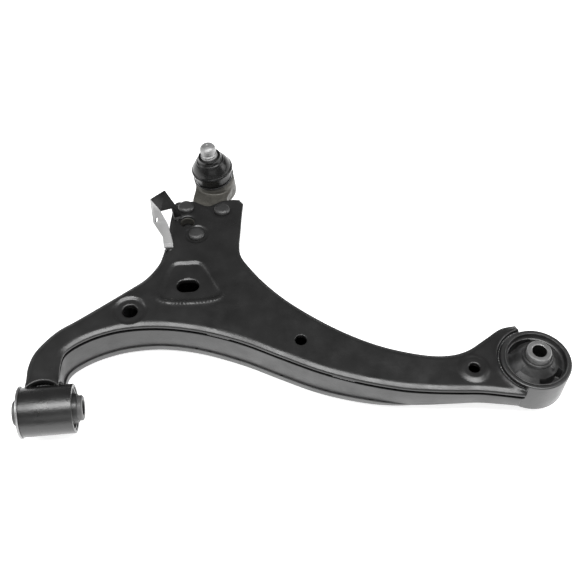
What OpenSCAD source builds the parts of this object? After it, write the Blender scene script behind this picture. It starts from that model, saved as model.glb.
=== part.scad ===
// Control arm: two pressings welded into a box, a bush at each inner end and a riveted ball joint.
// Millimetres, +Z up. The origin is the centre of the front bush, and +X runs along the pivot axis
// to the rear bush. +Y points out to the wheel.

/* [Layout] */
// Distance between the centres of the two bushes
pivot_span = 480; // [400:5:580]
// Distance from the pivot axis out to the ball joint
reach = 285; // [237:3:342]
// Place of the ball joint along the pivot axis
ball_x = 177; // [165:1:195]
// Height of the ball's centre above the pivot axis
ball_z = 13; // [10:0.5:16]
// Lean of the stud towards the front bush, in degrees
stud_lean = 6.5; // [0:0.5:12]

/* [Pressings] */
// Thickness of the upper and lower pressings
sheet_t = 3; // [2.5:0.1:3.6]
// Thickness of the closing sheet under the channel
closing_t = 1.5; // [1.2:0.1:2]
// Height of the upper pressing's top face above the pivot axis
top_z = 19; // [17:0.5:20]
// Depth of the upper pressing's turned-down rim
rim_h = 5.5; // [4.5:0.5:7]
// Height of the groove between the rim and the channel's flange
groove_h = 2.4; // [1.5:0.1:3]
// Depth of the channel below the pivot axis, at its middle
box_depth = 28; // [24:1:34]
// Depth of the channel below the pivot axis, at the rear ring
tail_depth = 8; // [6:0.5:12]
// Width of the leg that runs to the front tube
leg_w = 32; // [27:1:38]
// Width of the neck that holds the ball joint
neck_w = 82; // [78:1:98]
// Height of the closing sheet's lip on the channel wall
lip_h = 6; // [4:0.5:8]
// Diameter of the flanged hole in the leg's dish
leg_hole_d = 16; // [12:1:19]
// Length and width of the oval hole in the middle pocket
pocket_hole = [24, 16]; // [10:1:30]
// Diameter of the plain hole behind the pocket
plain_hole_d = 12; // [8:1:16]
// Diameter of the hole in the rear dish
tail_hole_d = 11; // [8:1:13]
// Diameter of the tooling hole in the neck
neck_hole_d = 16; // [10:1:16]
// Depth of the dishes round the holes
dish_depth = 2; // [1:0.2:2.4]

/* [Front bush] */
// Outer diameter of the front tube
tube_d = 48; // [44:1:52]
// Wall of the front tube
tube_wall = 3; // [2.5:0.5:4]
// Length of the front tube
tube_l = 50; // [44:1:56]
// Outer diameter of the front core
core_d = 24.5; // [22:0.5:27]
// Bolt bore through both cores, for an M14 bolt
bolt_bore = 14.3; // [12.3:0.1:16.5]
// Length of the front core
front_core_l = 66; // [60:1:74]
// Wall of the bushes' outer sleeves
sleeve_wall = 1.5; // [1:0.25:2]

/* [Rear bush] */
// Outer diameter of the rear ring
ring_d = 71; // [64:0.5:76]
// Wall of the rear ring
ring_wall = 4; // [3:0.5:5]
// Height of the rear ring
ring_h = 38; // [34:0.5:44]
// Height of the rear bush's middle above the pivot axis
ring_lift = 1.5; // [0:0.5:3]
// Length of the rear core
rear_core_l = 66; // [58:1:74]
// How far the outer sleeve stands above and below the ring
sleeve_proud = 1; // [0:0.5:2]

/* [Ball joint] */
// Diameter of the ball
ball_d = 27; // [25:0.5:29]
// Diameter of the stud's shank
stud_d = 18; // [16:0.5:19]
// Length from the ball's centre to the stud's tip
stud_l = 58; // [54:1:68]
// Outer diameter of the housing
housing_d = 46; // [43:0.5:50]
// Thickness of the flange between the pressings
flange_t = 10; // [9:0.5:10]
// Diameter of the rivets' shanks
rivet_d = 10; // [8:0.5:11]
// Diameter of the rivets' heads
rivet_head_d = 17.8; // [15:0.2:18]

/* [Bracket] */
// Thickness of the bracket's strap
strap_t = 2.4; // [1.6:0.2:3]
// Height of the bracket above the pivot axis
bracket_top = 56; // [50:1:62]

/* [Fits] */
// Clearance of a core in its rubber, and of the ball in its seat
running_gap = 0.05; // [0.03:0.01:0.08]
// Clearance between the boot and what moves beside it
boot_gap = 0.3; // [0.25:0.05:0.5]

/* [Hidden] */
$fn = 96;

far = 400;
tube_r = tube_d / 2;
ring_r = ring_d / 2;
core_r = core_d / 2;
sheet_z = top_z - sheet_t;
rim_z = top_z - rim_h;
lip_z = rim_z - groove_h;
lip_in = 0.4;
lip_edge = 1.8;
shell_in = sheet_t;
void_in = 2 * sheet_t;
closing_in = sheet_t - closing_t;
// The upper pressing stops short of the ring, and the weld fills the step.
cup_gap = 2.5;
leg_x = -4;
leg_end_y = 6;
neck_x = ball_x - 12;
neck_y = reach - 40;
flange_z = sheet_z - flange_t;
neck_floor_z = flange_z - sheet_t;

// ---- Curves ----

function mix3(a, b, c, d, t) =
    0.5 * (2 * b + (c - a) * t + (2 * a - 5 * b + 4 * c - d) * t * t
           + (3 * b - a - 3 * c + d) * t * t * t);

// A smooth curve through the points p, with n steps to each span
function curve(p, n) =
    concat([for (i = [0 : len(p) - 2], k = [0 : n - 1])
                mix3(p[max(i - 1, 0)], p[i], p[i + 1], p[min(i + 2, len(p) - 1)], k / n)],
           [p[len(p) - 1]]);

// The same, closed on itself
function loop(p, n) =
    let (m = len(p))
    [for (i = [0 : m - 1], k = [0 : n - 1])
        mix3(p[(i + m - 1) % m], p[i], p[(i + 1) % m], p[(i + 2) % m], k / n)];

function unit(v) = v / norm(v);
function right_of(v) = [v[1], -v[0]];

// How far the point p is from the line between a and b
function off_edge(p, a, b) =
    norm(p - a - (b - a) * min(max((p - a) * (b - a) / ((b - a) * (b - a)), 0), 1));

// A clockwise outline moved inwards by d, with mitred corners; points that a corner swallows go
function inset(p, d) =
    let (m = len(p),
         q = [for (i = [0 : m - 1])
                 let (a = right_of(unit(p[i] - p[(i + m - 1) % m])),
                      b = right_of(unit(p[(i + 1) % m] - p[i])))
                 p[i] + (a + b) * d / (1 + a * b)])
    [for (i = [0 : m - 1])
        let (off = [for (k = [-8 : 7]) off_edge(q[i], p[(i + k + m) % m], p[(i + k + 1 + m) % m])])
            if (min(off) > d - 0.01)
                q[i]];

function arc(r, a0, a1, n) =
    [for (k = [0 : n]) let (a = a0 + (a1 - a0) * k / n) r * [cos(a), sin(a)]];
function shift(p, v) = [for (q = p) q + v];
function ease(t) = let (s = min(max(t, 0), 1)) s * s * (3 - 2 * s);

// ---- The arm's outline, seen from above, clockwise from the leg's outer side ----

function part_way(fx, fy) = [fx * pivot_span, fy * reach];
function from_leg(x, y) = [leg_x + x * leg_w / 32, y];
function from_neck(x, y) = [neck_x + x * neck_w / 82, reach + y];
function from_ring(x, y) = [pivot_span, 0] + [x, y] * ring_d / 71;

front_edge = curve([from_leg(-16.5, leg_end_y), from_leg(-16.5, 24), from_leg(-15.5, 42),
                    from_leg(-9, 60), part_way(0.01, 0.284), part_way(0.052, 0.33),
                    part_way(0.104, 0.388), part_way(0.156, 0.446), part_way(0.196, 0.495),
                    part_way(0.221, 0.546), part_way(0.235, 0.594), from_neck(-45, -86),
                    from_neck(-42, -63), from_neck(-37, -37)], 6);
// Two small corner arcs and the scallop round the ball joint's shank
neck_end = curve([from_neck(-34, -34), from_neck(-15, -34), from_neck(-8, -38), from_neck(2, -43),
                  from_neck(12, -39), from_neck(19, -36), from_neck(38, -35)], 5);
rear_edge = curve([from_neck(42, -41), from_neck(39, -60), from_neck(36, -82), from_neck(33, -104),
                   part_way(0.414, 0.578), part_way(0.43, 0.521), part_way(0.458, 0.445),
                   part_way(0.502, 0.352), part_way(0.56, 0.26), part_way(0.626, 0.176),
                   part_way(0.694, 0.11), from_ring(-113, 19), from_ring(-87, 15.2),
                   from_ring(-65, 19.2), from_ring(-43, 32), from_ring(-25, 42.6), from_ring(-8, 45)], 6);
near_edge = curve([from_ring(-20, -39.2), from_ring(-38, -35), from_ring(-61, -30), from_ring(-84, -27.5),
                   from_ring(-112, -24), part_way(0.708, -0.065), part_way(0.629, -0.023),
                   part_way(0.552, 0.033), part_way(0.475, 0.105), part_way(0.396, 0.181),
                   part_way(0.312, 0.24), part_way(0.229, 0.272), part_way(0.156, 0.276),
                   part_way(0.1, 0.258), part_way(0.057, 0.226), from_leg(19, 54), from_leg(15.5, 40),
                   from_leg(15.5, 24), from_leg(16, leg_end_y)], 6);

function angle_at_ring(p) = let (q = p - [pivot_span, 0]) (atan2(q[1], q[0]) + 360) % 360;
far_jaw = angle_at_ring(rear_edge[len(rear_edge) - 1]);
near_jaw = angle_at_ring(near_edge[0]);

// The whole outline; its cup round the rear ring has radius cup_r
function outline(cup_r) = concat(front_edge, neck_end, rear_edge,
                                 shift(arc(cup_r, far_jaw, near_jaw, 28), [pivot_span, 0]), near_edge);
// The same without the jaws' last stretch, for the hollow inside
function short_outline() = concat(front_edge, neck_end, [for (i = [0 : len(rear_edge) - 8]) rear_edge[i]],
                                  [for (i = [6 : len(near_edge) - 1]) near_edge[i]]);

shell_plan = inset(outline(ring_r - shell_in), shell_in);
lip_plan = inset(outline(ring_r - lip_in), lip_in);
void_plan = inset(short_outline(), void_in);
closing_plan = inset(short_outline(), closing_in);

// ---- The box's depth ----

function floor_x(x) =
    -(tail_depth + (box_depth - tail_depth) * (1 - ease((x / pivot_span - 0.5) / 0.46)))
    + 2.5 * ease(1 - abs(x / pivot_span - 0.24) / 0.16);
function floor_y(y) =
    max(-far / 4 + (far / 4 + neck_floor_z) * ease((y - reach + 185) / 85),
        y < 60 ? (box_depth - tube_r) * ease(1 - (y - 10) / 40) - box_depth : -far / 4);

// Everything above the channel's floor, raised by up
module above_floor(up) {
    xs = [for (i = [0 : 40]) -60 + i * (pivot_span + 120) / 40];
    ys = [for (i = [0 : 40]) -80 + i * (reach + 140) / 40];
    intersection() {
        translate([0, far, 0])
            rotate([90, 0, 0])
                linear_extrude(2 * far)
                    polygon(concat([[-60, far], [pivot_span + 60, far]],
                                   [for (i = [40 : -1 : 0]) [xs[i], floor_x(xs[i]) + up]]));
        rotate([90, 0, 90])
            translate([0, 0, -far])
                linear_extrude(4 * far)
                    polygon(concat([[-80, far], [reach + 60, far]],
                                   [for (i = [40 : -1 : 0]) [ys[i], floor_y(ys[i]) + up]]));
    }
}

module slab(plan, z0, z1) {
    translate([0, 0, z0])
        linear_extrude(z1 - z0)
            polygon(plan);
}

module front_bore(r, len) {
    rotate([0, 90, 0])
        cylinder(r = r, h = len, center = true);
}

module at_ring() {
    translate([pivot_span, 0, 0])
        children();
}

module at_rear_bush() {
    translate([pivot_span, 0, ring_lift])
        children();
}

// ---- Holes, dishes and rivets ----

leg_hole = part_way(0.165, 0.353);
mid_hole = part_way(0.291, 0.452);
plain_hole = part_way(0.521, 0.163);
tail_hole = [pivot_span - 64, -4.5];
neck_hole = [neck_x - 22.5, reach - 65];
rivet_at = [[neck_x + 17, reach - 51.5], [neck_x - 23, reach - 44], [neck_x - 13, reach - 85.5]];
pocket_plan = loop([mid_hole + [-28, -15], mid_hole + [-24, 9], mid_hole + [-15, 30], mid_hole + [0, 32],
                    mid_hole + [16, 29], mid_hole + [27, 6], mid_hole + [32, -17], mid_hole + [2, -21]], 5);

// A frustum: the dish's hollow, or the pressing's bulge under it
module dish(at, top_d, flat_d, depth, z) {
    translate([at[0], at[1], z - depth])
        cylinder(d1 = flat_d, d2 = top_d, h = depth + 0.001);
}

// The same, raised above z
module boss(at, foot_d, top_d, height, z) {
    translate([at[0], at[1], z - 0.001])
        cylinder(d1 = foot_d, d2 = top_d, h = height + 0.001);
}

module oval(at, size, z0, z1) {
    translate([at[0], at[1], z0])
        for (s = [-1, 1])
            translate([s * (size[0] - size[1]) / 2, 0, 0])
                cylinder(d = size[1], h = z1 - z0);
    translate([at[0] - (size[0] - size[1]) / 2, at[1] - size[1] / 2, z0])
        cube([size[0] - size[1], size[1], z1 - z0]);
}

module rivet_holes() {
    for (p = rivet_at)
        translate([p[0], p[1], 0])
            cylinder(d = rivet_d, h = far, center = true);
}

// The scoop where the upper pressing ends over the front tube
module leg_notch() {
    translate([leg_x - 0.5, 3, rim_z])
        cylinder(r = 19.5, h = far);
}

// ---- The arm's pressings ----

module upper_plate() {
    color([0.07, 0.07, 0.08])
        difference() {
            union() {
                difference() {
                    slab(outline(ring_r + cup_gap), rim_z, top_z);
                    slab(shell_plan, rim_z - 1, sheet_z);
                    translate([neck_x - neck_w / 2, reach - 60, rim_z - 1])
                        cube([neck_w, 60, rim_h + 1 - sheet_t]);
                }
                intersection() {
                    dish(leg_hole, 38, 30, dish_depth, sheet_z);
                    slab(void_plan, rim_z, sheet_z);
                }
                boss(tail_hole, 35, 22, dish_depth, top_z);
                intersection() {
                    slab(inset(pocket_plan, 1), sheet_z - dish_depth, sheet_z);
                    slab(void_plan, rim_z - 1, sheet_z);
                }
            }
            dish(leg_hole, 36, 28, dish_depth, top_z);
            boss(tail_hole, 31, 18, dish_depth, sheet_z - 0.001);
            slab(inset(pocket_plan, 3), top_z - dish_depth, top_z + 1);
            dish(rivet_at[2], 28, 24, dish_depth / 2, top_z);
            for (h = [[leg_hole, leg_hole_d], [plain_hole, plain_hole_d], [tail_hole, tail_hole_d],
                      [neck_hole, neck_hole_d]])
                translate([h[0][0], h[0][1], 0])
                    cylinder(d = h[1], h = far, center = true);
            oval(mid_hole, pocket_hole, 0, top_z + 1);
            rivet_holes();
            leg_notch();
            front_bore(tube_r, tube_l + 20);
        }
}

module lower_shell() {
    color([0.09, 0.09, 0.1])
        difference() {
            intersection() {
                union() {
                    slab(shell_plan, -far / 2, sheet_z);
                    slab(lip_plan, lip_z - lip_edge, lip_z);
                }
                above_floor(0);
            }
            difference() {
                intersection() {
                    slab(void_plan, -far / 2, top_z + 1);
                    above_floor(sheet_t);
                }
                at_ring()
                    cylinder(r = ring_r + sheet_t, h = far, center = true);
            }
            at_ring()
                cylinder(r = ring_r + 0.04, h = far, center = true);
            // The shank leaves the neck through its open end.
            translate([neck_x - neck_w / 2 + 7, reach - 60, flange_z])
                cube([neck_w - 13, 60, far]);
            for (h = [[leg_hole, leg_hole_d], [plain_hole, plain_hole_d], [tail_hole, tail_hole_d]])
                translate([h[0][0], h[0][1], -far])
                    cylinder(d = h[1], h = far);
            rivet_holes();
            front_bore(tube_r, tube_l + 20);
        }
}

module bottom_plate() {
    // The lip fades out towards the rear ring.
    xs = [for (i = [0 : 30]) -40 + i * (0.8 * pivot_span + 40) / 30];
    function fade(x) = 1 - ease((x / pivot_span - 0.62) / 0.18);
    color([0.08, 0.08, 0.09])
        difference() {
            intersection() {
                slab(closing_plan, -far / 2, 0);
                translate([0, reach - 130, 0])
                    rotate([90, 0, 0])
                        linear_extrude(reach + far)
                            polygon(concat([for (x = xs) [x, floor_x(x) - closing_t]],
                                           [for (i = [30 : -1 : 0])
                                                [xs[i], floor_x(xs[i]) + 0.2 + lip_h * fade(xs[i])]]));
            }
            intersection() {
                slab(shell_plan, -far / 2, sheet_z);
                above_floor(0);
            }
            for (h = [[leg_hole, leg_hole_d], [plain_hole, plain_hole_d]])
                translate([h[0][0], h[0][1], -far])
                    cylinder(d = h[1], h = far);
            front_bore(tube_r, tube_l + 20);
        }
}

stitch_l = 26;

module seam_weld() {
    stitches = [part_way(0.05, 0.33), part_way(0.14, 0.43), part_way(0.5, 0.35), part_way(0.62, 0.17),
                part_way(0.35, 0.2), part_way(0.6, 0)];
    color([0.1, 0.1, 0.1])
        intersection() {
            difference() {
                slab(inset(outline(ring_r + cup_gap), 0.8), lip_z, rim_z);
                slab(shell_plan, -far / 2, sheet_z);
            }
            union()
                for (p = stitches)
                    translate([p[0] - stitch_l / 2, p[1] - 20, -far / 2])
                        cube([stitch_l, 40, far]);
        }
}

// ---- Front bush ----

module tube_between(r0, r1, x0, x1) {
    translate([x0, 0, 0])
        rotate([0, 90, 0])
            difference() {
                cylinder(r = r1, h = x1 - x0);
                translate([0, 0, -1])
                    cylinder(r = r0, h = x1 - x0 + 2);
            }
}

sleeve_r = tube_r - tube_wall;
front_rubber_r = sleeve_r - sleeve_wall;

module front_tube() {
    color([0.08, 0.08, 0.09])
        tube_between(sleeve_r, tube_r, -tube_l / 2, tube_l / 2);
}

module front_tube_weld() {
    bead = 2.4;
    seat_z = 9;
    color([0.12, 0.12, 0.12])
        difference() {
            union() {
                for (x = [leg_x - leg_w / 2 + 1, leg_x + leg_w / 2 - 1])
                    translate([x, 0, 0])
                        rotate([0, 90, 0])
                            rotate([0, 0, 20])
                                rotate_extrude(angle = 110)
                                    translate([tube_r, 0])
                                        circle(bead, $fn = 24);
                // Across the top, in the scoop
                translate([leg_x - leg_w / 2 + 6, sqrt(tube_r * tube_r - seat_z * seat_z) - 0.5, seat_z])
                    rotate([0, 90, 0])
                        cylinder(r = bead, h = leg_w - 12, $fn = 24);
            }
            front_bore(tube_r, tube_l + 20);
            slab(shell_plan, -far / 2, sheet_z);
            slab(lip_plan, lip_z - lip_edge, lip_z);
            difference() {
                slab(outline(ring_r + cup_gap), rim_z, top_z);
                leg_notch();
            }
            slab(closing_plan, -far / 2, 0);
        }
}

module front_bush_sleeve() {
    color([0.35, 0.36, 0.36]) {
        tube_between(front_rubber_r, sleeve_r, -tube_l / 2, tube_l / 2 - 1);
        tube_between(front_rubber_r, tube_r + 1.6, -tube_l / 2 - 2, -tube_l / 2);
    }
}

module front_bush_rubber() {
    r0 = core_r + running_gap;
    e = tube_l / 2;
    mid = (r0 + front_rubber_r) / 2;
    dip0 = min(r0 + 3, mid - 0.5);
    dip1 = max(front_rubber_r - 1.5, mid + 0.5);
    color([0.03, 0.03, 0.03])
        rotate([0, 90, 0])
            rotate_extrude()
                polygon([[r0, -e - 3.5], [r0 + 1, -e - 3.5], [dip0, -e + 2], [dip1, -e + 1],
                         [front_rubber_r, -e], [front_rubber_r, e - 3], [dip1, e - 5], [dip0, e - 4],
                         [r0 + 1, e + 3.5], [r0, e + 3.5]]);
}

module front_bush_core() {
    color([0.7, 0.7, 0.68])
        tube_between(bolt_bore / 2, core_r, -front_core_l / 2, front_core_l / 2);
}

// ---- Rear bush ----

ring_bore_r = ring_r - ring_wall;
rear_rubber_r = ring_bore_r - sleeve_wall;
rear_sleeve_h = ring_h + 2 * sleeve_proud;

module upright_tube(r0, r1, h) {
    difference() {
        cylinder(r = r1, h = h, center = true);
        cylinder(r = r0, h = h + 2, center = true);
    }
}

module rear_ring() {
    color([0.07, 0.07, 0.08])
        at_rear_bush()
            upright_tube(ring_bore_r, ring_r, ring_h);
}

module rear_ring_weld() {
    low = floor_x(pivot_span - ring_r - 4);
    color([0.12, 0.12, 0.12])
        at_ring() {
            rotate([0, 0, far_jaw + 3])
                rotate_extrude(angle = near_jaw - far_jaw - 6)
                    polygon([[ring_r, sheet_z], [ring_r + cup_gap - 0.1, sheet_z],
                             [ring_r + cup_gap - 0.1, top_z - 1], [ring_r, top_z - 1.4]]);
            rotate([0, 0, 125])
                rotate_extrude(angle = 100)
                    polygon([[ring_r, low], [ring_r, low - 3], [ring_r + 3, low]]);
        }
}

module rear_bush_sleeve() {
    color([0.2, 0.2, 0.21])
        at_rear_bush()
            upright_tube(rear_rubber_r, ring_bore_r, rear_sleeve_h);
}

kidney_mid = 118;
kidney_half = 33;

module rear_bush_rubber() {
    r0 = core_r + running_gap;
    r1 = rear_rubber_r;
    h = ring_h / 2;
    side = [[r0, h + 7], [r0 + 2.5, h + 7], [r0 + 4, h + 3.5], [r0 + 6.5, h + 0.5], [r1 - 8, h - 3],
            [r1 - 3, h - 6], [r1, h - 4]];
    color([0.03, 0.03, 0.03])
        at_rear_bush()
            difference() {
                rotate_extrude()
                    polygon(concat(side, [for (i = [len(side) - 1 : -1 : 0]) [side[i][0], -side[i][1]]]));
                for (a = [kidney_mid, kidney_mid + 180])
                    rotate([0, 0, a - kidney_half])
                        rotate_extrude(angle = 2 * kidney_half)
                            translate([r1 - 7.5, -far / 4])
                                square([5.5, far / 2]);
            }
}

module rear_bush_core() {
    color([0.7, 0.7, 0.68])
        at_rear_bush()
            upright_tube(bolt_bore / 2, core_r, rear_core_l);
}

// ---- Ball joint: its own axis leans with the stud ----

module at_ball() {
    translate([ball_x, reach, ball_z])
        rotate([0, -stud_lean, 0])
            children();
}

ball_r = ball_d / 2;
housing_r = housing_d / 2;
seat_r = ball_r + 4;
stud_r = stud_d / 2;
stud_neck_r = stud_r - 2;
housing_top = 14;
housing_floor = ball_r + 6;
mouth_r = ball_r - 1.1;

flange_plan = loop([from_neck(-14, -33), from_neck(-29, -36), from_neck(-34, -48), from_neck(-28, -70),
                    from_neck(-22, -96), from_neck(-6, -97), from_neck(10, -78), from_neck(26, -64),
                    from_neck(31, -48), from_neck(26, -35), from_neck(6, -33)], 5);
shank_plan = loop([from_neck(-16, -46), from_neck(-15, -30), from_neck(-12, -16), from_neck(-7, 0),
                   from_neck(13, 6), from_neck(33, 0), from_neck(30, -16), from_neck(24, -30),
                   from_neck(24, -46), from_neck(2, -52)], 5);

module ball_joint_housing() {
    color([0.33, 0.33, 0.28])
        difference() {
            union() {
                at_ball()
                    rotate_extrude()
                        polygon([[0, -housing_floor], [housing_r - 3, -housing_floor],
                                 [housing_r, -housing_floor + 5], [housing_r, 6], [housing_r - 1.5, 8],
                                 [housing_r - 1.5, 9.5], [housing_r - 3.5, 9.5], [housing_r - 3.5, 12.5],
                                 [housing_r - 2, 12.5], [housing_r - 2, housing_top], [0, housing_top]]);
                slab(flange_plan, flange_z, sheet_z);
                slab(shank_plan, flange_z, sheet_z - 0.01);
            }
            at_ball() {
                translate([0, 0, -housing_floor - 1])
                    cylinder(r = seat_r, h = housing_floor + 1 + ball_r - 5.5);
                translate([0, 0, ball_r - 5.6])
                    cylinder(r1 = mouth_r, r2 = mouth_r + 4.5, h = housing_top - ball_r + 5.7);
            }
            rivet_holes();
            translate([neck_hole[0], neck_hole[1], 0])
                cylinder(d = neck_hole_d - 2, h = far, center = true);
        }
}

module ball_seat() {
    color([0.85, 0.84, 0.78])
        at_ball()
            difference() {
                translate([0, 0, -ball_r - 1])
                    cylinder(r = seat_r, h = 2 * ball_r - 4.5);
                sphere(r = ball_r + running_gap);
                cylinder(r = mouth_r, h = ball_r);
            }
}

module housing_cap() {
    color([0.3, 0.3, 0.26])
        at_ball()
            translate([0, 0, -housing_floor])
                cylinder(r = seat_r, h = housing_floor - ball_r - 1);
}

module ball() {
    color([0.75, 0.75, 0.76])
        at_ball()
            sphere(r = ball_r);
}

boot_top = 43;
collar_t = 1.2;
shoulder_r = stud_r + 0.5;
grip_r = shoulder_r + running_gap + collar_t + boot_gap;

module ball_stud() {
    groove_z = stud_l - 10;
    color([0.78, 0.78, 0.78])
        at_ball()
            difference() {
                rotate_extrude()
                    polygon([[0, ball_r - 4], [stud_neck_r, ball_r - 4], [stud_neck_r, 20],
                             [shoulder_r, 27], [shoulder_r, boot_top + 0.6], [stud_r, boot_top + 1.1],
                             [stud_r, groove_z - 1.6], [stud_r - 1.2, groove_z - 0.8],
                             [stud_r - 1.2, groove_z + 0.8], [stud_r, groove_z + 1.6],
                             [stud_r, stud_l - 4.5], [stud_r - 1, stud_l - 2.4],
                             [stud_r - 3.2, stud_l - 0.8], [stud_r - 6, stud_l - 0.1], [2, stud_l],
                             [0, stud_l - 1.2]]);
                sphere(r = ball_r + running_gap);
            }
}

module boot() {
    r0 = housing_r - 3.5 + 0.02;
    r1 = housing_r + 0.4;
    outer = [[r0 + 2, 9.7], [r0 + 2, 17], [r0 + 2.5, 20.3], [r1 - 0.8, 22.2], [r1, 22.9], [r1, 24.1],
             [r1 - 1.1, 25.2], [r1 - 2, 27], [r1 - 3.4, 30], [r1 - 5.4, 33.4], [r1 - 7.8, 36.6],
             [r1 - 9.8, 38.8], [r1 - 10.4, 40], [r1 - 10.5, 41.6], [r1 - 10.9, boot_top - 0.3],
             [r1 - 11.6, boot_top]];
    inner = [[grip_r, boot_top], [grip_r, 37], [r1 - 11, 36.4], [r1 - 8.6, 33], [r1 - 6.2, 30],
             [r1 - 4.8, 27], [r1 - 4, 23.6], [r0, 20], [r0, 9.7]];
    color([0.04, 0.04, 0.04])
        at_ball()
            difference() {
                rotate_extrude()
                    polygon(concat(outer, inner));
                translate([0, 0, 12.5])
                    cylinder(r = housing_r - 2, h = housing_top - 12.5);
            }
}

module clip(r, wire, z) {
    at_ball()
        translate([0, 0, z])
            rotate_extrude()
                translate([r, 0])
                    circle(wire, $fn = 32);
}

module boot_bottom_ring() {
    color([0.3, 0.3, 0.3])
        clip(housing_r - 1.5 + 1.05, 1, 11);
}

module boot_top_ring() {
    h = 5;
    color([0.25, 0.25, 0.25])
        at_ball()
            translate([0, 0, boot_top - 1 - h / 2])
                upright_tube(shoulder_r + running_gap, shoulder_r + running_gap + collar_t, h);
}

// ---- Rivets ----

module rivets() {
    head_r = rivet_head_d / 2;
    h = 4.6;
    color([0.08, 0.08, 0.09])
        for (i = [0 : 2]) {
            seat = top_z - (i == 2 ? dish_depth / 2 : 0);
            translate([rivet_at[i][0], rivet_at[i][1], 0])
                rotate_extrude()
                    polygon([[0, neck_floor_z - 4], [head_r - 4, neck_floor_z - 4],
                             [head_r - 1, neck_floor_z - 2], [head_r - 0.6, neck_floor_z],
                             [rivet_d / 2, neck_floor_z], [rivet_d / 2, seat],
                             [head_r, seat], [head_r - 0.3, seat + 1.6], [head_r - 2, seat + h - 1.4],
                             [head_r - 4.4, seat + h - 0.3], [0, seat + h]]);
        }
}

// ---- Sensor bracket: a bent strap that bridges from the neck's edge to its top ----

module corner(p) {
    translate(p)
        sphere(d = strap_t, $fn = 16);
}

module panel(points) {
    hull()
        for (p = points)
            corner(p);
}

module sensor_bracket() {
    z0 = top_z + strap_t / 2;
    x = neck_x - 60;
    y = reach - 64;
    foot = [[x + 11, y - 39, z0], [x + 21, y - 40, z0]];
    heel = [[x + 10.5, y - 34, z0], [x + 21, y - 34, z0]];
    waist = [[x + 10.5, y - 29, z0 + 6], [x + 20, y - 30, z0 + 6]];
    elbow = [x + 1.5, y - 18, bracket_top - 18];
    inner = [x + 17, y - 20, bracket_top - 19];
    peak = [x, y, bracket_top];
    fold = [x + 10.5, y - 10, bracket_top - 9.5];
    crest = [x + 15.5, y + 12, bracket_top];
    drop = [x + 27, y + 9, bracket_top - 24];
    toe = [[x + 20.5, y + 8, z0 + 5], [x + 31, y + 4, z0], [x + 23, y + 4, z0]];
    color([0.06, 0.06, 0.07])
        difference() {
            union() {
                panel([foot[0], foot[1], heel[0], heel[1]]);
                panel([heel[0], heel[1], waist[0], waist[1]]);
                panel([waist[0], waist[1], inner, fold, peak, elbow]);
                panel([peak, fold, crest]);
                panel([fold, crest, drop]);
                panel([drop, toe[0], toe[1], toe[2]]);
            }
            // The slot in the blade
            translate([x + 5, y - 17, bracket_top - 17])
                rotate([0, 0, 28])
                    cube([1.3, 9, 30], center = true);
        }
}

module bracket_welds() {
    x = neck_x - 60;
    y = reach - 64;
    color([0.12, 0.12, 0.12])
        for (p = [[x + 13, y - 42.3], [x + 18, y - 42.8], [x + 27, y + 0.9]])
            translate([p[0], p[1], top_z])
                difference() {
                    sphere(d = 4, $fn = 32);
                    translate([0, 0, -10])
                        cube(20, center = true);
                }
}

upper_plate();
lower_shell();
bottom_plate();
seam_weld();
front_tube();
front_tube_weld();
front_bush_sleeve();
front_bush_rubber();
front_bush_core();
rear_ring();
rear_ring_weld();
rear_bush_sleeve();
rear_bush_rubber();
rear_bush_core();
ball_joint_housing();
ball_seat();
housing_cap();
ball();
ball_stud();
boot();
boot_bottom_ring();
boot_top_ring();
rivets();
sensor_bracket();
bracket_welds();
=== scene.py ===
import math
import random

import bmesh
import bpy
import numpy as np
from mathutils import Matrix, Vector
from mathutils.geometry import delaunay_2d_cdt


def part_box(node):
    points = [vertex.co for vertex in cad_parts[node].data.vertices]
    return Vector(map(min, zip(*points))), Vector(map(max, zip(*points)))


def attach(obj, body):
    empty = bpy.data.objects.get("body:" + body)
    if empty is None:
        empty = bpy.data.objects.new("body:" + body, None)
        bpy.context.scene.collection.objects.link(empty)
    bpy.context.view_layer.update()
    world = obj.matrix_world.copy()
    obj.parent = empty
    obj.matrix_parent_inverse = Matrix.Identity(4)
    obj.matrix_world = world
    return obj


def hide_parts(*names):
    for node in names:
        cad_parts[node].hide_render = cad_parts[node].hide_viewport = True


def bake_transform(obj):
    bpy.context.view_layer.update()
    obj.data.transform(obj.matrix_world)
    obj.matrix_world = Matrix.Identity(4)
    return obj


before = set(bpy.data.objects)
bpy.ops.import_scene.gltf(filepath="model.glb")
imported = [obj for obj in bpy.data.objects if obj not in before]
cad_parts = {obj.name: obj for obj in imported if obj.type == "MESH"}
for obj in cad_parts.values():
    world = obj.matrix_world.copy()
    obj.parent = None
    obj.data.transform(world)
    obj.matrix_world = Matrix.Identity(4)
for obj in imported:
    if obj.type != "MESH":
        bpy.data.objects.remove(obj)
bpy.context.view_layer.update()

scene = bpy.context.scene

# ---- sizes, in millimetres, from the frame


def box_mm(node):
    lo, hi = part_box(node)
    return np.array(lo) * 1000, np.array(hi) * 1000


ring_lo, ring_hi = box_mm("rear_ring")
tube_lo, tube_hi = box_mm("front_tube")
rear_core_lo, rear_core_hi = box_mm("rear_bush_core")
ball_lo, ball_hi = box_mm("ball")
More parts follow.
